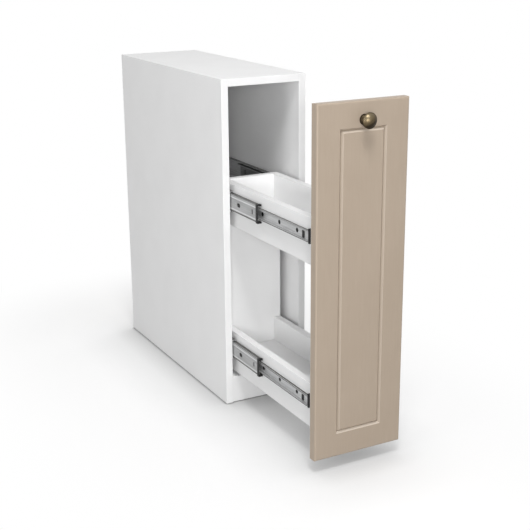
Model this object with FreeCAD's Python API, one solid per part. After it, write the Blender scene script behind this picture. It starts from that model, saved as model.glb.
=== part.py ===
import FreeCAD, Part
import math
import os
from FreeCAD import Vector

# A narrow base cabinet with a pull-out spice rack, drawn with the rack pulled out.
# Millimetres: +X to the right seen from the front, +Y into the cabinet, +Z up.
# The origin is on the floor, under the middle of the carcass's front edges.

# Carcass
carcass_width = 200.0
carcass_height = 720.0
carcass_depth = 560.0
board = 16.0  # thickness of the carcass boards
edge_break = 0.6  # bevel on the banded edges of every board
kick_height = 60.0
kick_setback = 3.0
back_thickness = 3.0
back_setback = 20.0  # rear edges of the sides to the back panel
back_groove = 8.0  # depth of the groove that holds the back panel
groove_clearance = 0.2

# Pull-out unit
opened = 358.0  # how far the unit is pulled out here
slide_travel = 400.0  # from closed to fully out
tray_board = 16.0
tray_length = 421.0  # door to the rear board
tray_height = 92.0
tray_floor_lift = 20.0  # lower edge of a tray's sides to the underside of its floor
tray_foot_gap = 9.0  # bottom panel to the lower tray
tray_pitch = 335.0  # lower tray to upper tray

# Door front
door_width = 197.0
door_thickness = 19.0
door_bottom = 28.0
door_top_reveal = 2.0
door_edge_round = 3.0
door_gap = 2.0  # closed door to the carcass
frame_margin = 52.0  # door edge to the middle of the routed groove
frame_groove_width = 8.0
frame_groove_depth = 4.0
frame_groove_floor = 0.8
bumper_radius = 4.0
bumper_inset = 30.0
bumper_clearance = 0.3

# Knob
knob_drop = 34.0  # top of the door to the middle of the knob
knob_projection = 27.0
knob_base_radius = 10.0
knob_base_thickness = 2.0
knob_neck_radius = 5.5
knob_neck_place = 9.0  # door face to the narrowest part of the neck
knob_head_radius = 15.0
knob_rim_place = 16.5
knob_rim_thickness = 3.0
knob_rim_step = 1.6
knob_screw_radius = 2.0
knob_screw_bite = 11.0
knob_screw_head_radius = 4.0
knob_screw_head_thickness = 2.4
knob_screw_clearance = 0.15

# Ball-bearing slides: places across a slide are counted from the carcass wall to the tray
slide_space = 13.0
slide_rise = 57.0  # lower edge of a tray's sides to the middle of the slide
slide_sheet = 1.2
slide_flange = 2.0
slide_corner_round = 1.4
slide_gap = 0.3  # between a ball cage and the members beside it
outer_height = 45.5
outer_length = 400.0
outer_setback = 2.0  # front edge of the carcass to the outer members
outer_reach = 9.5
middle_height = 37.0
middle_length = 392.0
middle_setback = 6.0
middle_reach = 11.0
middle_share = 0.35  # travel of the middle members to that of the pull-out unit
inner_height = 22.0
inner_length = 350.0
inner_setback = 48.0  # back of the door to the inner members
inner_reach = 7.8
bead_width = 2.0
bead_depth = 0.6
bead_share = 0.52  # place of a pressed bead in the half height of its member
bead_end = 5.0  # end of a member to its beads

# Ball cages
cage_sheet = 0.6
cage_margin = 4.0
cage_end = 12.0  # cage end to the first ball
outer_ball_radius = 1.8
outer_ball_place = 5.0
outer_ball_count = 7
inner_ball_radius = 3.0
inner_ball_place = 8.0
inner_ball_count = 5
ball_clearance = 0.3
pocket_clearance = 0.15
cage_overhang = 3.6  # middle of a ball to the edge of its cage

# Plastic pieces of the slides
clip_length = 8.0
clip_front = 2.0
clip_skin = 0.9
clip_rim = 1.3
cap_length = 4.5
cap_height = 29.0
cap_thickness = 5.0
stop_bar_place = 20.0  # front of an inner member to its stop bar
stop_bar_width = 7.0
stop_bar_height = 17.0
stop_bar_thickness = 1.2
rear_stop_clearance = 0.4
rear_stop_height = 26.0
rear_stop_depth = 6.5

# Holes and screws of the slides
middle_slot_place = 23.0
middle_slot_width = 5.0
middle_slot_height = 10.5
middle_hole_place = 84.0
middle_hole_radius = 4.5
middle_hole_length = 15.0
outer_screw_place = 35.0
outer_screw_pitch = 160.0
inner_screw_place = 48.0
inner_screw_pitch = 70.0
screw_end_margin = 20.0  # least distance from a screw to the rear end of its slide
screw_radius = 2.0
screw_head_radius = 4.5
screw_length = 12.0
screw_clearance = 0.1
recess_length = 3.6  # arms of the cross in a screw head
recess_width = 0.7
recess_depth = 1.0

# Dowels and cam fittings
dowel_radius = 4.0
dowel_in_end = 20.0
dowel_in_face = 10.0
dowel_clearance = 0.1
dowel_room = 0.5
dowel_inset = 35.0
cam_radius = 7.5
cam_reach = 24.0  # joint to the middle of the cam
cam_below_axis = 4.6
cam_inset = 70.0
cam_clearance = 0.15
cam_recess_length = 9.0  # arms of the cross in a cam
cam_recess_width = 1.6
cam_recess_depth = 2.5
bolt_radius = 3.0
bolt_bite = 10.5
kick_dowel_spread = 12.0
tray_dowel_inset = 60.0
tray_dowel_count = 3
rear_dowel_inset = 16.0
floor_dowel_spread = 25.0
door_dowel_rise = 48.0
door_cam_rise = 72.0
cut_past = 1.0  # how far a cutter runs out of the face that it opens

# Derived places
half_width = carcass_width / 2
wall = half_width - board
tray_half = wall - slide_space
door_half = door_width / 2
door_top = carcass_height - door_top_reveal
door_back = -(door_gap + opened)
door_face = door_back - door_thickness
rear_front = door_back + tray_length
rear_back = rear_front + tray_board
bottom_front = kick_setback + board
top_under = carcass_height - board
back_front = carcass_depth - back_setback - back_thickness
tray_places = {"lower": kick_height + tray_foot_gap, "upper": kick_height + tray_foot_gap + tray_pitch}
sides = {"left": -1, "right": 1}

cage_place = slide_sheet + slide_gap  # face of an outer cage towards the wall
middle_place = cage_place + cage_sheet + slide_gap
inner_cage_place = middle_place + slide_sheet + slide_gap
outer_race = (outer_height / 2 - slide_flange + middle_height / 2) / 2
inner_race = (middle_height / 2 - slide_flange + inner_height / 2) / 2
outer_cage_share = middle_share / 2
inner_cage_share = (middle_share + 1) / 2
outer_screw_count = int((outer_length - outer_screw_place - screw_end_margin) // outer_screw_pitch) + 1
inner_screw_count = int((inner_length - inner_screw_place - screw_end_margin) // inner_screw_pitch) + 1

outer_front = outer_setback
outer_rear = outer_front + outer_length
middle_front = middle_setback - middle_share * opened
middle_rear_closed = middle_setback + middle_length
inner_front = door_back + inner_setback
inner_front_closed = inner_front + opened
inner_rear_closed = inner_front_closed + inner_length
outer_cage_front = outer_front + outer_cage_share * slide_travel + cage_margin
outer_cage_rear = middle_rear_closed - (middle_share - outer_cage_share) * slide_travel - cage_margin
inner_cage_front = middle_setback + (inner_cage_share - middle_share) * slide_travel + cage_margin
inner_cage_rear = inner_rear_closed - (1 - inner_cage_share) * slide_travel - cage_margin

axis_x = Vector(1, 0, 0)
axis_y = Vector(0, 1, 0)
axis_z = Vector(0, 0, 1)
boards = {}
cutters = {}


def block(x0, x1, y0, y1, z0, z1):
    low = Vector(min(x0, x1), min(y0, y1), min(z0, z1))
    return Part.makeBox(abs(x1 - x0), abs(y1 - y0), abs(z1 - z0), low)


def rod(radius, start, end):
    return Part.makeCylinder(radius, (end - start).Length, start, end - start)


def cone(start_radius, end_radius, start, end):
    return Part.makeCone(start_radius, end_radius, (end - start).Length, start, end - start)


def cross_recess(face, into, length, width, depth):
    plane = [axis for axis in (axis_x, axis_y, axis_z) if abs(axis.dot(into)) < 0.5]
    arms = []
    for along, beside in (plane, plane[::-1]):
        half = along * (length / 2) + beside * (width / 2)
        low = face - half - into * cut_past
        high = face + half + into * depth
        arms.append(block(low.x, high.x, low.y, high.y, low.z, high.z))
    return arms


def save(name, solids):
    Part.makeCompound(solids).exportStep("parts/" + name + ".step")


def add_board(name, x0, x1, y0, y1, z0, z1):
    plain = block(x0, x1, y0, y1, z0, z1)
    boards[name] = plain.makeChamfer(edge_break, plain.Edges)
    cutters[name] = []


def dowel_joint(point, into, end_board, face_board):
    start = point - into * dowel_in_end
    end = point + into * dowel_in_face
    bore = rod(dowel_radius + dowel_clearance, start - into * dowel_room, end + into * dowel_room)
    cutters[end_board].append(bore)
    cutters[face_board].append(bore)
    return rod(dowel_radius, start, end)


def cam_joint(point, into, mouth, thickness, cam_board, bolt_board):
    centre = point - into * cam_reach
    top = centre + mouth * (thickness / 2)
    floor = centre - mouth * cam_below_axis
    end = point + into * bolt_bite
    bore = rod(bolt_radius + cam_clearance, centre - into * dowel_room, end + into * dowel_room)
    cutters[cam_board].append(rod(cam_radius + cam_clearance, top + mouth * cut_past, floor))
    cutters[cam_board].append(bore)
    cutters[bolt_board].append(bore)
    recess = cross_recess(top, -mouth, cam_recess_length, cam_recess_width, cam_recess_depth)
    return rod(cam_radius, top, floor).cut([bore] + recess), rod(bolt_radius, centre, end)


# Boards of the carcass
for name, side in sides.items():
    add_board("side_panel_" + name, side * wall, side * half_width, 0, carcass_depth, 0, carcass_height)
add_board("top_panel", -wall, wall, 0, carcass_depth, top_under, carcass_height)
add_board("bottom_panel", -wall, wall, bottom_front, carcass_depth, kick_height - board, kick_height)
add_board("kick_panel", -wall, wall, kick_setback, bottom_front, 0, kick_height)

# The back panel lies in a groove of the sides, the top and the bottom
groove = block(-wall - back_groove, wall + back_groove,
               back_front - groove_clearance, back_front + back_thickness + groove_clearance,
               kick_height - back_groove, top_under + back_groove)
for name in ("side_panel_left", "side_panel_right", "top_panel", "bottom_panel"):
    cutters[name].append(groove)
back_half = wall + back_groove - groove_clearance
back_panel = block(-back_half, back_half, back_front, back_front + back_thickness,
                   kick_height - back_groove + groove_clearance, top_under + back_groove - groove_clearance)

# Boards of the pull-out unit
for tier, foot in tray_places.items():
    for name, side in sides.items():
        add_board(tier + "_tray_" + name + "_side", side * (tray_half - tray_board), side * tray_half,
                  door_back, rear_front, foot, foot + tray_height)
    add_board(tier + "_tray_floor", tray_board - tray_half, tray_half - tray_board,
              door_back, rear_front, foot + tray_floor_lift, foot + tray_floor_lift + tray_board)
add_board("tray_rear_board", -tray_half, tray_half, rear_front, rear_back,
          tray_places["lower"], tray_places["upper"] + tray_height)


# Door front with rounded front edges and a routed frame
def groove_rectangle(grow, y):
    x = door_half - frame_margin + grow
    low = door_bottom + frame_margin - grow
    high = door_top - frame_margin + grow
    corners = [Vector(-x, y, low), Vector(x, y, low), Vector(x, y, high), Vector(-x, y, high), Vector(-x, y, low)]
    return Part.makePolygon(corners)


def groove_wedge(direction):
    mouth = groove_rectangle(direction * frame_groove_width / 2, door_face)
    floor = groove_rectangle(direction * frame_groove_floor / 2, door_face + frame_groove_depth)
    return Part.makeLoft([mouth, floor], True, True)


slab = block(-door_half, door_half, door_face, door_back, door_bottom, door_top)
front_edges = [edge for edge in slab.Edges if edge.BoundBox.YMax < door_face + edge_break]
slab = slab.makeFillet(door_edge_round, front_edges)
boards["door_front"] = slab.cut(groove_wedge(1).cut(groove_wedge(-1)))
cutters["door_front"] = []

# Knob, turned about its own axis, and its screw
knob_z = door_top - knob_drop
rim_front = knob_rim_place + knob_rim_thickness
dome_radius = knob_head_radius - knob_rim_step
neck_flare = (knob_neck_radius + knob_head_radius) / 2
dome_height = knob_projection - rim_front
dome_ball = (dome_radius ** 2 + dome_height ** 2) / (2 * dome_height)  # the dome is a cap of a sphere
dome_middle = knob_projection - dome_ball
dome_angle = math.asin(dome_radius / dome_ball)


def knob_point(radius, out):
    return Vector(radius, door_face - out, knob_z)


def line(start, end):
    return Part.LineSegment(knob_point(*start), knob_point(*end)).toShape()


def arc(start, middle, end):
    return Part.Arc(knob_point(*start), knob_point(*middle), knob_point(*end)).toShape()


base_edge = (knob_base_radius, knob_base_thickness)
base_shoulder = (knob_base_radius - knob_rim_step, knob_base_thickness)
neck = (knob_neck_radius, knob_neck_place)
neck_low = (knob_neck_radius + knob_rim_step / 2, (knob_base_thickness + knob_neck_place) / 2)
neck_high = (neck_flare - knob_rim_step, (knob_neck_place + knob_rim_place) / 2 + knob_rim_step)
under_rim = (dome_radius, knob_rim_place)
rim_back = (knob_head_radius, knob_rim_place + knob_rim_step / 2)
rim_edge = (knob_head_radius, rim_front - knob_rim_step / 2)
dome_foot = (dome_radius, rim_front)
dome_shoulder = (dome_ball * math.sin(dome_angle / 2), dome_middle + dome_ball * math.cos(dome_angle / 2))
dome_top = (0, knob_projection)
knob_outline = Part.Wire([
    line((0, 0), (knob_base_radius, 0)), line((knob_base_radius, 0), base_edge), line(base_edge, base_shoulder),
    arc(base_shoulder, neck_low, neck), arc(neck, neck_high, under_rim), line(under_rim, rim_back),
    line(rim_back, rim_edge), line(rim_edge, dome_foot), arc(dome_foot, dome_shoulder, dome_top),
    line(dome_top, (0, 0))])
knob = Part.Face(knob_outline).revolve(knob_point(0, 0), axis_y, 360)
screw_bore = rod(knob_screw_radius + knob_screw_clearance, Vector(0, door_back + cut_past, knob_z),
                 knob_point(0, knob_screw_bite + dowel_room))
knob = knob.cut(screw_bore)
cutters["door_front"].append(screw_bore)
screw_seat = Vector(0, door_back, knob_z)
knob_screw = rod(knob_screw_radius, screw_seat, knob_point(0, knob_screw_bite))
screw_face = screw_seat + axis_y * knob_screw_head_thickness
knob_screw = knob_screw.fuse(rod(knob_screw_head_radius, screw_seat, screw_face))
knob_screw = knob_screw.cut(cross_recess(screw_face, -axis_y, recess_length, recess_width, recess_depth))

# Bumpers on the back of the door meet the front edges of the sides
bumpers = []
for side in sides.values():
    for height in (door_bottom + bumper_inset, door_top - bumper_inset):
        seat = Vector(side * (half_width - board / 2), door_back, height)
        bumpers.append(rod(bumper_radius, seat, seat + axis_y * (door_gap - bumper_clearance)))


# Slides
def across(side, place):
    return side * (wall - place)


def slide_block(side, place0, place1, y0, y1, z0, z1):
    return block(across(side, place0), across(side, place1), y0, y1, z0, z1)


def channel(side, z, web_back, web_front, tip, height, front, length):
    half = height / 2
    corners = [(web_back, -half), (tip, -half), (tip, slide_flange - half), (web_front, slide_flange - half),
               (web_front, half - slide_flange), (tip, half - slide_flange), (tip, half), (web_back, half)]
    corners.append(corners[0])
    outline = Part.makePolygon([Vector(across(side, place), front, z + rise) for place, rise in corners])
    body = Part.Face(outline).extrude(axis_y * length)
    back_x = across(side, web_back)
    outside = [edge for edge in body.Edges
               if edge.BoundBox.YLength > length / 2 and abs(edge.BoundBox.XMin - back_x) < slide_corner_round
               and abs(abs(edge.BoundBox.ZMin - z) - half) < slide_corner_round]
    return body.makeFillet(slide_corner_round, outside)


def raceways(side, z, place, race, radius, front, length):
    return [rod(radius + ball_clearance, Vector(across(side, place), front, z + sign * race),
                Vector(across(side, place), front + length, z + sign * race)) for sign in (-1, 1)]


def beads(side, z, face, into, height, front, length):
    offset = bead_share * height / 2
    return [slide_block(side, face, face + into * bead_depth, front + bead_end, front + length - bead_end,
                        z + sign * offset - bead_width / 2, z + sign * offset + bead_width / 2)
            for sign in (-1, 1)]


def upright_slot(side, z, y, width, height):
    return slide_block(side, 0, slide_space, y - width / 2, y + width / 2, z - height / 2, z + height / 2)


def long_hole(side, z, y, radius, length):
    reach = (length - 2 * radius) / 2
    ends = [rod(radius, Vector(across(side, 0), y + shift, z), Vector(across(side, slide_space), y + shift, z))
            for shift in (-reach, reach)]
    return ends + [slide_block(side, 0, slide_space, y - reach, y + reach, z - radius, z + radius)]


def flat_screw(side, z, y, head_place, tip_direction, panel):
    head = Vector(across(side, head_place), y, z)
    out = axis_x * (-side * tip_direction)
    under = head + out * slide_sheet
    tip = under + out * screw_length
    body = cone(screw_head_radius, screw_radius, head, under).fuse(rod(screw_radius, under, tip))
    body = body.cut(cross_recess(head, out, recess_length, recess_width, recess_depth))
    seat = cone(screw_head_radius + screw_clearance, screw_radius + screw_clearance, head, under)
    cutters[panel].append(rod(screw_radius + screw_clearance, under - out * cut_past, tip + out * dowel_room))
    return body, seat


def ball_cage(side, z, web_place, ball_place, race, radius, count, front, rear):
    rail_end = ball_place + cage_overhang
    half = race + cage_sheet / 2
    cage = slide_block(side, web_place, rail_end, front, rear, z - half, z + half)
    hollow = slide_block(side, web_place + cage_sheet, rail_end + cut_past, front, rear,
                         z - half + cage_sheet, z + half - cage_sheet)
    pitch = (rear - front - 2 * cage_end) / (count - 1)
    centres = [Vector(across(side, ball_place), front + cage_end + step * pitch, z + sign * race)
               for sign in (-1, 1) for step in range(count)]
    pockets = [rod(radius + pocket_clearance, centre - axis_z * cage_sheet, centre + axis_z * cage_sheet)
               for centre in centres]
    return cage.cut([hollow] + pockets), [Part.makeSphere(radius, centre) for centre in centres]


def end_clip(side, z, front):
    half = middle_height / 2
    nose = front - clip_front
    skin = slide_block(side, middle_place - clip_skin, middle_reach, nose, nose + clip_length,
                       z - half - clip_rim, z + half + clip_rim)
    member = slide_block(side, middle_place, middle_reach + cut_past, front, nose + clip_length, z - half, z + half)
    opening_half = half - slide_flange
    opening = slide_block(side, middle_place, middle_reach + cut_past, nose, front,
                          z - opening_half, z + opening_half)
    return skin.cut([member, opening])


def end_stops(side, z, front):
    cap = slide_block(side, slide_space - cap_thickness, slide_space, front - cap_length, front,
                      z - cap_height / 2, z + cap_height / 2)
    web_face = slide_space - slide_sheet
    bar_front = front + stop_bar_place
    bar = slide_block(side, web_face - stop_bar_thickness, web_face, bar_front, bar_front + stop_bar_width,
                      z - stop_bar_height / 2, z + stop_bar_height / 2)
    return [cap, bar]


def rear_stop(side, z):
    front = middle_rear_closed + rear_stop_clearance
    return slide_block(side, slide_sheet, slide_sheet + rear_stop_depth, front, outer_rear,
                       z - rear_stop_height / 2, z + rear_stop_height / 2)


outer_screws = []
inner_screws = []
inner_stops = []
rear_stops = []
os.makedirs("parts", exist_ok=True)
for tier, foot in tray_places.items():
    z = foot + slide_rise
    for name, side in sides.items():
        tag = tier + "_" + name

        seats = []
        for step in range(outer_screw_count):
            y = outer_front + outer_screw_place + step * outer_screw_pitch
            screw, seat = flat_screw(side, z, y, slide_sheet, -1, "side_panel_" + name)
            outer_screws.append(screw)
            seats.append(seat)
        outer = channel(side, z, 0, slide_sheet, outer_reach, outer_height, outer_front, outer_length)
        races = raceways(side, z, outer_ball_place, outer_race, outer_ball_radius, outer_front, outer_length)
        save("slide_outer_" + tag, [outer.cut(races + seats)])
        rear_stops.append(rear_stop(side, z))

        middle = channel(side, z, middle_place, middle_place + slide_sheet, middle_reach, middle_height,
                         middle_front, middle_length)
        cuts = raceways(side, z, outer_ball_place, outer_race, outer_ball_radius, middle_front, middle_length)
        cuts += raceways(side, z, inner_ball_place, inner_race, inner_ball_radius, middle_front, middle_length)
        cuts += beads(side, z, middle_place, 1, middle_height, middle_front, middle_length)
        for turn in (0, 1):
            for place, is_slot in ((middle_slot_place, True), (middle_hole_place, False)):
                y = middle_front + abs(turn * middle_length - place)
                if is_slot:
                    cuts.append(upright_slot(side, z, y, middle_slot_width, middle_slot_height))
                else:
                    cuts += long_hole(side, z, y, middle_hole_radius, middle_hole_length)
        save("slide_middle_" + tag, [middle.cut(cuts)])
        save("slide_clip_" + tag, [end_clip(side, z, middle_front)])

        seats = []
        for step in range(inner_screw_count):
            y = inner_front + inner_screw_place + step * inner_screw_pitch
            screw, seat = flat_screw(side, z, y, slide_space - slide_sheet, 1, tier + "_tray_" + name + "_side")
            inner_screws.append(screw)
            seats.append(seat)
        inner = channel(side, z, slide_space, slide_space - slide_sheet, slide_space - inner_reach, inner_height,
                        inner_front, inner_length)
        cuts = raceways(side, z, inner_ball_place, inner_race, inner_ball_radius, inner_front, inner_length)
        cuts += beads(side, z, slide_space - slide_sheet, 1, inner_height, inner_front, inner_length)
        save("slide_inner_" + tag, [inner.cut(cuts + seats)])
        inner_stops += end_stops(side, z, inner_front)

        shift = outer_cage_share * opened
        cage, balls = ball_cage(side, z, cage_place, outer_ball_place, outer_race, outer_ball_radius,
                                outer_ball_count, outer_cage_front - shift, outer_cage_rear - shift)
        save("outer_cage_" + tag, [cage])
        save("outer_balls_" + tag, balls)
        shift = inner_cage_share * opened
        cage, balls = ball_cage(side, z, inner_cage_place, inner_ball_place, inner_race, inner_ball_radius,
                                inner_ball_count, inner_cage_front - shift, inner_cage_rear - shift)
        save("inner_cage_" + tag, [cage])
        save("inner_balls_" + tag, balls)

# Cams and dowels of the carcass
carcass_cams = []
carcass_bolts = []
carcass_dowels = []
for name, side in sides.items():
    panel = "side_panel_" + name
    into = axis_x * side
    for shelf, height in (("top_panel", carcass_height - board / 2), ("bottom_panel", kick_height - board / 2)):
        for y in (cam_inset, carcass_depth - cam_inset):
            cam, bolt = cam_joint(Vector(side * wall, y, height), into, -axis_z, board, shelf, panel)
            carcass_cams.append(cam)
            carcass_bolts.append(bolt)
        for y in (dowel_inset, carcass_depth - dowel_inset):
            carcass_dowels.append(dowel_joint(Vector(side * wall, y, height), into, shelf, panel))
    for sign in (-1, 1):
        point = Vector(side * wall, kick_setback + board / 2, kick_height / 2 + sign * kick_dowel_spread)
        carcass_dowels.append(dowel_joint(point, into, "kick_panel", panel))

# Cams and dowels of the pull-out unit
door_cams = []
door_bolts = []
tray_dowels = []
tray_dowel_pitch = (tray_length - 2 * tray_dowel_inset) / (tray_dowel_count - 1)
for tier, foot in tray_places.items():
    floor_board = tier + "_tray_floor"
    floor_middle = foot + tray_floor_lift + tray_board / 2
    for name, side in sides.items():
        side_board = tier + "_tray_" + name + "_side"
        board_middle = side * (tray_half - tray_board / 2)
        for step in range(tray_dowel_count):
            y = door_back + tray_dowel_inset + step * tray_dowel_pitch
            point = Vector(side * (tray_half - tray_board), y, floor_middle)
            tray_dowels.append(dowel_joint(point, axis_x * side, floor_board, side_board))
        for height in (foot + rear_dowel_inset, foot + tray_height - rear_dowel_inset):
            point = Vector(board_middle, rear_front, height)
            tray_dowels.append(dowel_joint(point, axis_y, side_board, "tray_rear_board"))
        point = Vector(side * floor_dowel_spread, rear_front, floor_middle)
        tray_dowels.append(dowel_joint(point, axis_y, floor_board, "tray_rear_board"))
        point = Vector(board_middle, door_back, foot + door_dowel_rise)
        tray_dowels.append(dowel_joint(point, -axis_y, side_board, "door_front"))
        point = Vector(board_middle, door_back, foot + door_cam_rise)
        cam, bolt = cam_joint(point, -axis_y, axis_x * -side, tray_board, side_board, "door_front")
        door_cams.append(cam)
        door_bolts.append(bolt)

for name, solid in boards.items():
    save(name, [solid.cut(cutters[name])])
save("back_panel", [back_panel])
save("knob", [knob])
save("knob_screw", [knob_screw])
save("door_bumpers", bumpers)
save("carcass_cams", carcass_cams)
save("carcass_cam_bolts", carcass_bolts)
save("carcass_dowels", carcass_dowels)
save("carcass_slide_screws", outer_screws)
save("slide_rear_stops", rear_stops)
save("door_cams", door_cams)
save("door_cam_bolts", door_bolts)
save("tray_dowels", tray_dowels)
save("tray_slide_screws", inner_screws)
save("inner_end_stops", inner_stops)
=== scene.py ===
import math

import bpy
from mathutils import Matrix, Vector


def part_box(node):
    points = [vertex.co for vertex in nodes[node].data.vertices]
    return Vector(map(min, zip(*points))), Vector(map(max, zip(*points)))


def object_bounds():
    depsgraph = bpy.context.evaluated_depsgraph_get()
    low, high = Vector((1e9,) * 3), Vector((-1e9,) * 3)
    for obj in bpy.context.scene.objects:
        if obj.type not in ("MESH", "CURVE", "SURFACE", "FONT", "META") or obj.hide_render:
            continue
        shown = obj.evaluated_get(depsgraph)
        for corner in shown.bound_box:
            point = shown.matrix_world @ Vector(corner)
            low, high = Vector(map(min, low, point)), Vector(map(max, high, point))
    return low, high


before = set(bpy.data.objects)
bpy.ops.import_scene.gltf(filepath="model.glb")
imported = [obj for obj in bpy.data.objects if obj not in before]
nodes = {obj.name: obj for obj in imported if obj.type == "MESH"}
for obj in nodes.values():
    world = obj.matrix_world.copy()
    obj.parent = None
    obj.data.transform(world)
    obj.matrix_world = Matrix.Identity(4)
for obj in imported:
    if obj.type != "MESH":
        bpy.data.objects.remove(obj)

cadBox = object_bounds()
slideTags = ["lower_left", "lower_right", "upper_left", "upper_right"]


class Wire:  # an output socket that can be calculated with
    def __init__(self, tree, socket=None):
        self.tree = tree
        self.socket = socket

    def node(self, kind, settings=None, inputs=None, output=0):
        made = self.tree.nodes.new("ShaderNode" + kind)
        for key, value in (settings or {}).items():
            setattr(made, key, value)
        plug(made, inputs or {})
        return Wire(self.tree, made.outputs[output])

    def maths(self, operation, *values):
        return self.node("Math", {"operation": operation}, dict(enumerate(values)))

    def __add__(self, other):
        return self.maths("ADD", self, other)

    def __radd__(self, other):
        return self.maths("ADD", other, self)

    def __sub__(self, other):
        return self.maths("SUBTRACT", self, other)

    def __rsub__(self, other):
        return self.maths("SUBTRACT", other, self)

    def __mul__(self, other):
        return self.maths("MULTIPLY", self, other)

    def __rmul__(self, other):
        return self.maths("MULTIPLY", other, self)

    def __truediv__(self, other):
        return self.maths("DIVIDE", self, other)

    def __pow__(self, power):
        return self.maths("POWER", self, power)

    def __abs__(self):
        return self.maths("ABSOLUTE", self)

    def least(self, other):
        return self.maths("MINIMUM", self, other)

    def most(self, other):
        return self.maths("MAXIMUM", self, other)

    def ease(self, low, high):  # 0 at low, 1 at high, smooth between
        sockets = {"Value": self, "From Min": low, "From Max": high}
        return self.node("MapRange", {"interpolation_type": "SMOOTHSTEP"}, sockets)


def plug(node, values):  # sets or links the sockets of one node
    for key, value in values.items():
        if isinstance(value, Wire):
            value.tree.links.new(value.socket, node.inputs[key])
        else:
            node.inputs[key].default_value = value


def newFinish(name):
    material = bpy.data.materials.new(name)
    material.use_nodes = True
    tree = material.node_tree
    start = Wire(tree)
    place = start.node("TexCoord", output="Object")  # metres in the row frame, at rest
    return material, start, place, tree.nodes["Principled BSDF"]


def noise(start, place, size, detail=2, stretch=(1, 1, 1), roughness=0.5):  # size of its grains in metres
    mapped = start.node("Mapping", {}, {"Vector": place, "Scale": tuple(s / size for s in stretch)})
    sockets = {"Vector": mapped, "Scale": 1, "Detail": detail, "Roughness": roughness}
    return start.node("TexNoise", {}, sockets)


def blendColour(start, mask, first, second):
    def full(colour):
        return colour if isinstance(colour, Wire) else (*colour, 1)
    return start.node("Mix", {"data_type": "RGBA"}, {0: mask, 6: full(first), 7: full(second)}, 2)


def bump(start, height, depth):
    return start.node("Bump", {}, {"Height": height, "Distance": depth, "Strength": 1})


def split(start, place):
    parts = start.node("SeparateXYZ", {}, {"Vector": place})
    outputs = parts.socket.node.outputs
    return [Wire(start.tree, outputs[axis]) for axis in "XYZ"]


def turnedTo(start, direction):  # how far the surface faces a direction, 1 straight at it
    facing = start.node("NewGeometry", output="Normal")
    return start.node("VectorMath", {"operation": "DOT_PRODUCT"}, {0: facing, 1: direction}, "Value")


def seenRays(start):  # 1 for what the camera sees, in metal and through glass too
    rays = start.node("LightPath", output="Is Camera Ray")
    paths = rays.socket.node.outputs
    mirrored, passed = (Wire(start.tree, paths[kind]) for kind in ("Is Glossy Ray", "Is Transmission Ray"))
    return rays.most(mirrored).most(passed)


def paint(nodeName, material):
    slots = nodes[nodeName].data.materials
    slots.clear()
    slots.append(material)


# White melamine boards: pearl grain, soft mottling and the seam of the edge band
melamine = {
    "colour": (0.88, 0.88, 0.88), "shade": (0.86, 0.86, 0.86), "seamColour": (0.66, 0.66, 0.655),
    "roughness": 0.42, "specular": 0.45, "pearl": 0.0007, "pearlDepth": 0.000012, "mottle": 0.09,
    "touch": 0.035, "band": 0.0011, "seam": 0.00025,
}


def melamineBoard(name):
    material, start, place, surface = newFinish(name + "Melamine")
    low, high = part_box(name)
    sizes = [h - l for l, h in zip(low, high)]
    thin = sizes.index(min(sizes))
    coords = split(start, place)
    seam = None
    for axis in range(3):
        if axis == thin:
            continue
        inset = (coords[axis] - low[axis]).least(high[axis] - coords[axis])
        line = abs(inset - melamine["band"]).ease(melamine["seam"], melamine["seam"] * 0.3)
        seam = line if seam is None else seam.most(line)
    pearl = noise(start, place, melamine["pearl"], 3)
    mottle = noise(start, place, melamine["mottle"], 4)
    touched = noise(start, place, melamine["touch"], 5, roughness=0.65)
    face = blendColour(start, mottle.ease(0.35, 0.7), melamine["colour"], melamine["shade"])
    plug(surface, {
        "Base Color": blendColour(start, seam * 0.7, face, melamine["seamColour"]),
        "Roughness": melamine["roughness"] + (touched - 0.5) * 0.10 + (pearl - 0.5) * 0.06 + seam * 0.15,
        "Normal": bump(start, pearl - seam * 2, melamine["pearlDepth"]),
        "Specular IOR Level": melamine["specular"],
    })
    return material


boardNames = ["side_panel_left", "side_panel_right", "top_panel", "bottom_panel", "kick_panel"]
boardNames += ["tray_rear_board"]
for tier in ("lower_tray_", "upper_tray_"):
    boardNames += [tier + piece for piece in ("left_side", "right_side", "floor")]
for boardName in boardNames:
    paint(boardName, melamineBoard(boardName))
print("boards:", len(boardNames))


# Door front: beige foil pressed over the routed frame, white on the back, with painted shade in the bottom
# of the groove and a painted highlight on the flanks that face the light
door = {
    "colour": (0.425, 0.346, 0.272), "shade": (0.400, 0.324, 0.252), "grooveShadeColour": (0.30, 0.24, 0.18),
    "grooveHighlightColour": (0.62, 0.55, 0.47), "backColour": (0.79, 0.79, 0.78), "roughness": 0.46, "specular": 0.4,
    "grain": 0.0006, "grainDepth": 0.00002, "longGrain": 0.004, "longStretch": (1, 1, 0.08), "cloud": 0.12,
    "margin": 0.052, "grooveWidth": 0.008, "grooveHighlightFrom": (-0.5, 0, 0.86), "backSeam": 0.0008,
}


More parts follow.
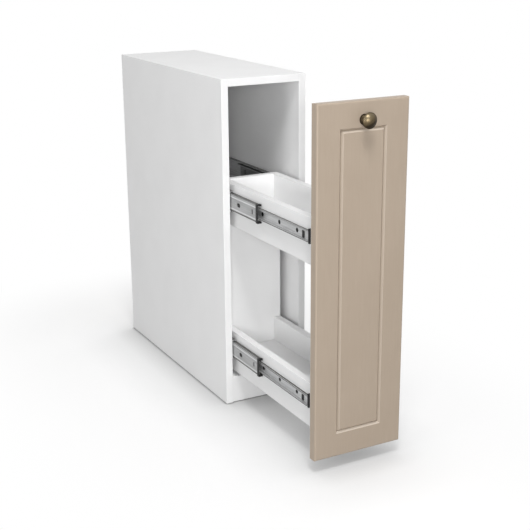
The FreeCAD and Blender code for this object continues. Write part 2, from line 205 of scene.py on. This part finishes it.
def doorFoil():
    material, start, place, surface = newFinish("doorFoil")
    low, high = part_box("door_front")
    x, y, z = split(start, place)
    across = door["margin"] - (x - low[0]).least(high[0] - x)
    up = door["margin"] - (z - low[2]).least(high[2] - z)
    ring = abs(across.most(up))  # distance from the middle line of the routed frame
    width = door["grooveWidth"]
    groove = ring.ease(width * 0.22, width * 0.06)  # painted shade, darker in the bottom of the groove
    inGroove = ring.ease(width * 0.56, width * 0.46)
    # how far each groove flank faces the light up-left
    upward = turnedTo(start, door["grooveHighlightFrom"]).ease(0.15, 0.65)
    grooveHighlight = upward * inGroove  # painted highlight on the groove flanks that face the light up-left
    back = (y - high[1]).ease(-door["backSeam"], -door["backSeam"] * 0.5)
    grain = noise(start, place, door["grain"], 3)
    longGrain = noise(start, place, door["longGrain"], 4, door["longStretch"], 0.6)
    cloud = noise(start, place, door["cloud"], 4)
    mixed = (cloud * 0.6 + longGrain * 0.4).ease(0.3, 0.72)
    foil = blendColour(start, mixed, door["colour"], door["shade"])
    # painted shade: the bottom of the groove is mixed towards a darker foil
    foil = blendColour(start, groove * 0.8, foil, door["grooveShadeColour"])
    # painted highlight: flanks that face the light are mixed towards a pale foil, varied by the cloud
    foil = blendColour(start, grooveHighlight * (0.45 + cloud * 0.4), foil, door["grooveHighlightColour"])
    plug(surface, {
        "Base Color": blendColour(start, back, foil, door["backColour"]),
        "Roughness": door["roughness"] + (grain - 0.5) * 0.12 + (cloud - 0.5) * 0.10 + groove * 0.10,
        "Normal": bump(start, grain * 0.7 + longGrain * 0.5, door["grainDepth"]),
        "Specular IOR Level": door["specular"],
    })
    return material


paint("door_front", doorFoil())
print("door: foil on the front, white back")


# Back panel: white lacquer inside, bare brown hardboard outside
hardboard = {
    "inside": (0.87, 0.87, 0.86), "outside": (0.30, 0.18, 0.085), "fibreColour": (0.20, 0.11, 0.05),
    "roughness": 0.6, "specular": 0.3, "skin": 0.0004, "fibre": 0.004, "fibreStretch": (1, 1, 0.5),
    "speck": 0.0011, "meshCount": 450, "depth": 0.00015,
}


def backPanelFinish():
    material, start, place, surface = newFinish("hardboardBack")
    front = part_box("back_panel")[0][1]
    y = split(start, place)[1]
    outside = (y - front).ease(hardboard["skin"], hardboard["skin"] * 2)
    fibre = noise(start, place, hardboard["fibre"], 6, hardboard["fibreStretch"], 0.7)
    speck = noise(start, place, hardboard["speck"])
    mesh = {"Vector": place, "Scale": hardboard["meshCount"]}
    screen = start.node("TexVoronoi", {}, mesh)  # mesh print of the press
    mixed = (fibre * 0.7 + speck * 0.3).ease(0.35, 0.68)
    raw = blendColour(start, mixed, hardboard["outside"], hardboard["fibreColour"])
    plug(surface, {
        "Base Color": blendColour(start, outside, hardboard["inside"], raw),
        "Roughness": hardboard["roughness"] + (fibre - 0.5) * 0.2 - (1 - outside) * 0.15,
        "Normal": bump(start, (screen * 0.6 + fibre) * outside + speck * 0.2, hardboard["depth"]),
        "Specular IOR Level": hardboard["specular"],
    })
    return material


paint("back_panel", backPanelFinish())
print("back panel: hardboard")


# Zinc plated slides: rolled streaks along the sheet, a painted highlight along the bends, and grease with
# painted shade along the edges
zinc = {
    "light": (0.60, 0.605, 0.61), "dull": (0.44, 0.443, 0.445), "bendHighlight": (0.80, 0.805, 0.81),
    "greaseAndShade": (0.060, 0.058, 0.054), "roughness": 0.38,
    "streak": 0.0005, "streakStretch": (1, 0.012, 1), "streakDepth": 0.000016,
    "rolled": 0.0025, "rolledStretch": (1, 0.04, 1), "cloud": 0.030, "cloudStretch": (1, 0.5, 1),
    # each member's zinc is painted lighter or darker by its scale, to make up for how much light reaches
    # it
    "members": {
        "slide_outer_": {
            "paintedLightScale": 1.40, "metal": 0.22, "bendAt": 0.0026, "bendWidth": 0.0015,
            "greaseAndShadeAbove": 0.0010, "greaseAndShadeBelow": 0.0012,
        },
        "slide_middle_": {
            "paintedLightScale": 0.76, "metal": 0.40, "bendAt": 0.0060, "bendWidth": 0.0024,
            "greaseAndShadeAbove": 0.0010, "greaseAndShadeBelow": 0.0040,
        },
        "slide_inner_": {
            "paintedLightScale": 1.02, "metal": 0.55, "bendAt": 0.0034, "bendWidth": 0.0015,
            "greaseAndShadeAbove": 0.0006, "greaseAndShadeBelow": 0.0019,
        },
    },
}


def zincSheet(name, member):
    material, start, place, surface = newFinish(name + "Zinc")
    low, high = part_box(name)
    z = split(start, place)[2]
    above, below = high[2] - z, z - low[2]  # distances from the upper and the lower edge of the profile
    # painted highlight: a pale line along each bend of the profile
    bendHighlight = abs(above.least(below) - member["bendAt"]).ease(member["bendWidth"], 0)
    streak = noise(start, place, zinc["streak"], 3, zinc["streakStretch"], 0.6)
    rolled = noise(start, place, zinc["rolled"], 4, zinc["rolledStretch"], 0.6)
    cloud = noise(start, place, zinc["cloud"], 4, zinc["cloudStretch"])
    # grease and painted shade: dark bands along the upper and the lower edge of the profile
    upper = above.ease(member["greaseAndShadeAbove"], member["greaseAndShadeAbove"] * 0.4)
    film = upper.most(below.ease(member["greaseAndShadeBelow"], member["greaseAndShadeBelow"] * 0.6))
    greaseAndShadeMask = film * (0.75 + cloud * 0.4).least(1)
    # painted light: the zinc colours are scaled per member to make up for shade
    dull, light = ([part * member["paintedLightScale"] for part in zinc[key]] for key in ("dull", "light"))
    sheet = blendColour(start, (rolled * 0.6 + cloud * 0.4).ease(0.32, 0.70), dull, light)
    sheet = blendColour(start, bendHighlight * 0.8, sheet, zinc["bendHighlight"])
    plug(surface, {
        "Base Color": blendColour(start, greaseAndShadeMask, sheet, zinc["greaseAndShade"]),
        "Metallic": member["metal"],
        "Roughness": zinc["roughness"] + (cloud - 0.5) * 0.16 + (streak - 0.5) * 0.14 - bendHighlight * 0.08,
        "Normal": bump(start, streak + rolled * 0.6, zinc["streakDepth"]),
    })
    return material


for tag in slideTags:
    for kind, member in zinc["members"].items():
        paint(kind + tag, zincSheet(kind + tag, member))
print("slides: zinc on", len(zinc["members"]) * len(slideTags), "members")


# Balls, ball cages, screws and cams of the fittings
fittings = {
    "ball": {
        "bright": (0.62, 0.62, 0.63), "dull": (0.40, 0.40, 0.41), "roughness": 0.16,
        "grain": 0.0009, "depth": 0.000004,
        "nodes": [layer + "_balls_" + tag for tag in slideTags for layer in ("outer", "inner")],
    },
    # cages: blackened steel, also kept this dark to paint the shade seen through the holes of the slides
    "cage": {
        "bright": (0.045, 0.044, 0.042), "dull": (0.020, 0.019, 0.018), "roughness": 0.50,
        "grain": 0.0007, "depth": 0.00002,
        "nodes": [layer + "_cage_" + tag for tag in slideTags for layer in ("outer", "inner")],
    },
    "screw": {
        "bright": (0.014, 0.014, 0.0145), "dull": (0.006, 0.006, 0.006), "roughness": 0.46,
        "grain": 0.0006, "depth": 0.000015,
        "nodes": ["carcass_slide_screws", "tray_slide_screws", "knob_screw"],
    },
    "cam": {
        "bright": (0.52, 0.52, 0.53), "dull": (0.34, 0.34, 0.35), "roughness": 0.46,
        "grain": 0.0008, "depth": 0.00004,
        "nodes": ["carcass_cams", "carcass_cam_bolts", "door_cams", "door_cam_bolts"],
    },
}


def fittingMetal(kind, look):
    material, start, place, surface = newFinish(kind + "Metal")
    grain = noise(start, place, look["grain"], 4, roughness=0.6)
    cloud = noise(start, place, look["grain"] * 8, 3)
    mixed = (grain * 0.4 + cloud * 0.6).ease(0.35, 0.7)
    plug(surface, {
        "Base Color": blendColour(start, mixed, look["bright"], look["dull"]),
        "Metallic": 1.0,
        "Roughness": look["roughness"] + (cloud - 0.5) * 0.2 + (grain - 0.5) * 0.1,
        "Normal": bump(start, grain, look["depth"]),
    })
    return material


for kind, look in fittings.items():
    metal = fittingMetal(kind, look)
    for nodeName in look["nodes"]:
        paint(nodeName, metal)
print("fittings:", ", ".join(fittings))


# Black plastic of the clips, end caps and stops: fine moulded grain
plastic = {
    "colour": (0.010, 0.010, 0.0105), "worn": (0.026, 0.026, 0.027), "roughness": 0.55, "specular": 0.3,
    "grain": 0.0004, "depth": 0.00002, "scuff": 0.006,
}


def blackPlastic():
    material, start, place, surface = newFinish("blackPlastic")
    grain = noise(start, place, plastic["grain"], 3)
    scuff = noise(start, place, plastic["scuff"], 5, roughness=0.7)
    plug(surface, {
        "Base Color": blendColour(start, scuff.ease(0.52, 0.75) * 0.7, plastic["colour"], plastic["worn"]),
        "Roughness": plastic["roughness"] + (grain - 0.5) * 0.15 + (scuff - 0.5) * 0.2,
        "Normal": bump(start, grain, plastic["depth"]),
        "Specular IOR Level": plastic["specular"],
    })
    return material


plasticFinish = blackPlastic()
plasticNames = ["inner_end_stops", "slide_rear_stops"] + ["slide_clip_" + tag for tag in slideTags]
for plasticName in plasticNames:
    paint(plasticName, plasticFinish)
print("plastic:", len(plasticNames), "nodes")


# Knob: darkened brass, with a painted highlight where it faces the light up-left and painted shade where
# it turns away, dark along the rim and near the door
knob = {
    "patina": (0.040, 0.030, 0.019), "brass": (0.155, 0.117, 0.068), "knobHighlight": (0.19, 0.155, 0.10),
    "roughness": 0.42, "litFrom": (-0.52, -0.1, 0.85),
    "rimRadius": 0.0146, "rimWidth": 0.0014, "rimCore": 0.0003,
    "blotch": 0.004, "fine": 0.0007, "ringPitch": 0.00045, "ringDepth": 0.000010,
}


def antiqueBrass():
    material, start, place, surface = newFinish("antiqueBrass")
    low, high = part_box("knob")
    middle = [(l + h) / 2 for l, h in zip(low, high)]
    x, y, z = split(start, place)
    radius = ((x - middle[0]) ** 2 + (z - middle[2]) ** 2) ** 0.5
    out = (high[1] - y) / (high[1] - low[1])  # 0 at the door, 1 at the crown
    rings = start.maths("SINE", radius * (2 * math.pi / knob["ringPitch"]))  # turning marks
    blotch = noise(start, place, knob["blotch"], 5, roughness=0.65)
    fine = noise(start, place, knob["fine"], 3)
    rim = abs(radius - knob["rimRadius"]).ease(knob["rimWidth"], knob["rimCore"]) * out.ease(0.5, 0.6)
    # how far the surface faces the light up-left
    facingLight = turnedTo(start, knob["litFrom"])
    # painted highlight on the crown where it faces the light, broken up by blotches
    knobHighlight = facingLight.ease(0.25, 0.75) * out.ease(0.5, 0.65) * (0.35 + blotch * 0.6)
    # random patina, plus painted shade where the surface turns away from the light
    dark = (blotch * 0.35 + fine * 0.15 - facingLight * 0.45 + 0.25).ease(0.28, 0.66)
    dark = dark.most(rim * 0.8).most(out.ease(0.34, 0.22) * 0.8)
    metal = blendColour(start, dark, knob["brass"], knob["patina"])
    plug(surface, {
        "Base Color": blendColour(start, knobHighlight, metal, knob["knobHighlight"]),
        "Metallic": 1.0,
        "Roughness": knob["roughness"] + dark * 0.12 + (fine - 0.5) * 0.12 - knobHighlight * 0.05,
        "Normal": bump(start, rings * 0.5 + fine * 0.8, knob["ringDepth"]),
    })
    return material


paint("knob", antiqueBrass())
print("knob: darkened brass")


# Beech dowels
dowel = {
    "light": (0.60, 0.40, 0.22), "dark": (0.44, 0.27, 0.13), "roughness": 0.6,
    "fleck": 0.0012, "fleckStretch": (0.25, 0.25, 1), "pore": 0.0004, "depth": 0.00008,
}


def beechFinish():
    material, start, place, surface = newFinish("beech")
    fleck = noise(start, place, dowel["fleck"], 5, dowel["fleckStretch"], 0.65)
    pore = noise(start, place, dowel["pore"])
    mixed = (fleck * 0.8 + pore * 0.2).ease(0.35, 0.68)
    plug(surface, {
        "Base Color": blendColour(start, mixed, dowel["light"], dowel["dark"]),
        "Roughness": dowel["roughness"] + (fleck - 0.5) * 0.2,
        "Normal": bump(start, fleck + pore * 0.5, dowel["depth"]),
    })
    return material


beech = beechFinish()
paint("carcass_dowels", beech)
paint("tray_dowels", beech)


# Clear bumpers behind the door
bumper = {
    "colour": (0.70, 0.71, 0.70), "shade": (0.56, 0.57, 0.56), "roughness": 0.30,
    "haze": 0.0015, "depth": 0.00003, "glow": 0.2,
}


def bumperFinish():
    material, start, place, surface = newFinish("clearBumper")
    haze = noise(start, place, bumper["haze"], 4)
    plug(surface, {
        "Base Color": blendColour(start, haze.ease(0.3, 0.7), bumper["colour"], bumper["shade"]),
        "Roughness": bumper["roughness"] + (haze - 0.5) * 0.2,
        "Normal": bump(start, haze, bumper["depth"]),
        "Subsurface Weight": bumper["glow"],
    })
    return material


paint("door_bumpers", bumperFinish())
print("dowels and bumpers done")


# Floor: pale, keeps the shadow, and runs into a white surround; a painted glow lifts it to white for the
# camera, with painted shade near the cabinet and a painted contact shadow along the foot
floor = {
    "size": 16, "drop": 0.0004, "colour": (0.42, 0.42, 0.42), "fibreColour": (0.38, 0.38, 0.38),
    "fibre": 0.003, "roughness": 0.9, "specular": 0.1, "lift": 0.56, "shadeSamples": 16,
    "wideReach": 0.19, "widePower": 0.8, "closeReach": 0.07, "closePower": 0.9,
    "contactShadowReach": 0.007, "contactShadowPower": 1.2, "contactShadowColour": (0.06, 0.06, 0.06),
    "fadeFrom": 0.10, "fadeTo": 0.54,
}
white = (1, 1, 1, 1)


def floorShade(start, reach):  # 1 in the open, lower where something stands within reach
    return start.node("AmbientOcclusion", {"samples": floor["shadeSamples"]}, {"Distance": reach}, "AO")


def floorPaper():
    material, start, place, surface = newFinish("floorPaper")
    fibre = noise(start, place, floor["fibre"], 3)
    paper = blendColour(start, fibre * 0.04, floor["colour"], floor["fibreColour"])
    touch = floorShade(start, floor["contactShadowReach"]) ** floor["contactShadowPower"]  # painted contact shadow, a dark line along the foot
    plug(surface, {
        "Base Color": blendColour(start, touch, floor["contactShadowColour"], paper),
        "Roughness": floor["roughness"],
        "Specular IOR Level": floor["specular"],
    })
    seen = seenRays(start)
    x, y = split(start, place)[:2]
    low, high = cadBox
    aside = (low[0] - x).most(x - high[0]).most(0)
    ahead = (low[1] - y).most(y - high[1]).most(0)
    away = (aside ** 2 + ahead ** 2) ** 0.5  # distance from the cabinet's footprint
    far = away.ease(floor["fadeFrom"], floor["fadeTo"])
    wide = floorShade(start, floor["wideReach"])  # soft shade around the cabinet
    close = floorShade(start, floor["closeReach"])  # painted shade, darker where it nearly touches
    openness = wide ** floor["widePower"] * close ** floor["closePower"] * touch
    # painted glow for the camera, painted darker by the shade around the cabinet
    glow = start.node("Emission", {}, {"Color": white, "Strength": seen * openness * floor["lift"]})
    lifted = start.node("AddShader", {}, {0: Wire(start.tree, surface.outputs[0]), 1: glow})
    bare = start.node("Emission", {}, {"Color": white, "Strength": 1})
    blended = start.node("MixShader", {}, {0: seen * far, 1: lifted, 2: bare})
    plug(start.tree.nodes["Material Output"], {"Surface": blended})
    return material


def makeFloor():
    half = floor["size"] / 2
    mesh = bpy.data.meshes.new("floor")
    corners = [(x * half, y * half, -floor["drop"]) for x, y in ((-1, -1), (1, -1), (1, 1), (-1, 1))]
    mesh.from_pydata(corners, [], [(0, 1, 2, 3)])
    mesh.materials.append(floorPaper())
    plane = bpy.data.objects.new("floor", mesh)
    bpy.context.scene.collection.objects.link(plane)


makeFloor()
print("floor: pale paper")


# Studio light: a low white surround, a soft key lamp high in front, a low lamp in front,
# one at the left and a weak one behind at the right
aim = (0, -0.15, 0.4)
studio = {
    "surround": 0.37,
    "lamps": {
        "keyLamp": {"from": (-0.66, -1.50, 3.22), "to": aim, "size": 0.8, "power": 53},
        "frontLamp": {"from": (-1.40, -2.96, 1.01), "to": aim, "size": 0.9, "power": 46},
        "sideLamp": {"from": (-3.05, -0.95, 0.80), "to": aim, "size": 0.9, "power": 15},
        "rearLamp": {"from": (2.70, 1.50, 0.85), "to": (0, 0.10, 0.4), "size": 1.2, "power": 22},
    },
}


def lightStudio():
    world = bpy.data.worlds.new("studio")
    bpy.context.scene.world = world
    world.use_nodes = True
    level = studio["surround"] + seenRays(Wire(world.node_tree)) * (1 - studio["surround"])
    plug(world.node_tree.nodes["Background"], {"Color": white, "Strength": level})
    for name, lamp in studio["lamps"].items():
        data = bpy.data.lights.new(name, "AREA")
        data.shape = "DISK"
        data.size = lamp["size"]
        data.energy = lamp["power"]
        place = Vector(lamp["from"])
        turn = (Vector(lamp["to"]) - place).to_track_quat("-Z", "Y").to_matrix().to_4x4()
        holder = bpy.data.objects.new(name, data)
        holder.matrix_world = Matrix.Translation(place) @ turn
        bpy.context.scene.collection.objects.link(holder)


lightStudio()
print("studio: surround and", len(studio["lamps"]), "lamps")


# Camera, at the photograph's viewing angle
cameraSetup = {
    "eye": (-1.0651, -1.9870, 1.0030), "azimuth": -28.17, "elevation": 17.10, "roll": -0.43,
    "focalPixels": 1076.7, "imageWidth": 530, "sensor": 36, "clip": (0.05, 60),
}


def makeCamera():
    data = bpy.data.cameras.new("camera")
    data.sensor_width = cameraSetup["sensor"]
    data.lens = cameraSetup["focalPixels"] / cameraSetup["imageWidth"] * data.sensor_width
    data.clip_start, data.clip_end = cameraSetup["clip"]
    azimuth, elevation, roll = (math.radians(cameraSetup[key]) for key in ("azimuth", "elevation", "roll"))
    level = math.cos(elevation)
    back = Vector((math.sin(azimuth) * level, -math.cos(azimuth) * level, math.sin(elevation)))
    turn = (-back).to_track_quat("-Z", "Y").to_matrix().to_4x4() @ Matrix.Rotation(roll, 4, "Z")
    camera = bpy.data.objects.new("camera", data)
    camera.matrix_world = Matrix.Translation(cameraSetup["eye"]) @ turn
    bpy.context.scene.collection.objects.link(camera)
    bpy.context.scene.camera = camera


makeCamera()
bpy.context.scene.view_settings.view_transform = "Standard"
